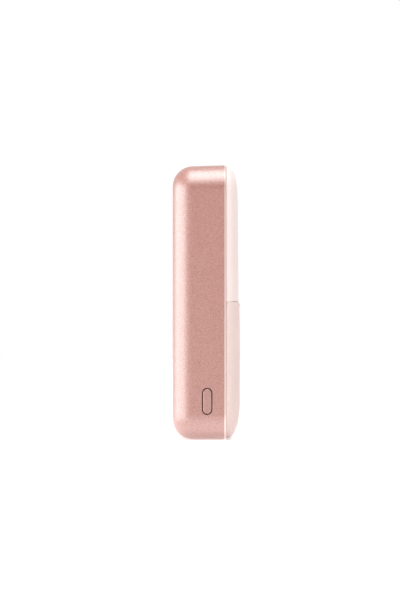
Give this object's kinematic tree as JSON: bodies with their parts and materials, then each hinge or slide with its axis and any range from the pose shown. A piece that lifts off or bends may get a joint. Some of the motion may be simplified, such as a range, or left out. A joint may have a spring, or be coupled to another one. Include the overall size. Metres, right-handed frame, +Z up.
{
  "type": "power bank",
  "caption": "Slim portable battery with a rounded metal front shell, a domed back, a fold-out rear stand and a pill-shaped side button.",
  "frame": {"origin": "on the floor under the middle of the body's box", "axes": "+X from the front face towards the back with the stand, +Y across the width away from the button, +Z up the height"},
  "size_m": [0.0222, 0.06, 0.09],
  "materials": {
    "shell": "fine sand-blasted, rose gold",
    "back": "satin, pale rose gold",
    "button": "fine sand-blasted, rose gold",
    "dark_plastic": "moulded",
    "white_plastic": "moulded",
    "clear_plastic": "frosted clear",
    "steel": "plain",
    "nickel": "nickel plated",
    "gold": "gold plated",
    "board": "solder mask",
    "chip": "moulded epoxy",
    "capacitor": "fired ceramic",
    "cell": "foil pouch",
    "tape": "sticky foam",
    "pad": "soft foam",
    "red_lead": "silicone sleeve",
    "black_lead": "silicone sleeve"
  },
  "bodies": {
    "housing": {"front_shell": "shell", "back_cover": "back", "catch_disc": "steel", "switch_body": "steel", "circuit_board": "board", "usb_a_shell": "steel", "usb_a_tongue": "white_plastic", "usb_a_contacts": "gold", "usb_c_shell": "steel", "usb_c_tongue": "dark_plastic", "power_inductor": "chip", "controller_chips": "chip", "capacitors": "capacitor", "indicator_leds": "white_plastic", "light_guide": "clear_plastic", "front_cell": "cell", "rear_cell": "cell", "cell_tape": "tape", "cell_pad": "pad", "cell_tabs": "nickel", "protection_board": "board", "positive_lead": "red_lead", "negative_lead": "black_lead", "cell_frame": "dark_plastic", "cover_screws": "steel"},
    "stand": {"stand_flap": "back", "stand_liner": "back", "stand_magnet": "nickel", "hinge_pin": "steel"},
    "button": {"side_button": "button", "switch_stem": "dark_plastic"}
  },
  "joints": [
    {"name": "stand_hinge", "type": "hinge", "parent": "housing", "child": "stand", "pos_m": [0.00995, 0, 0.044], "axis": [0, -1, 0], "range_deg": [0, 60]},
    {"name": "button_press", "type": "slide", "parent": "housing", "child": "button", "axis": [0, 1, 0], "range_m": [0, 0.00035], "stiffness_N_per_m": 4000}
  ]
}
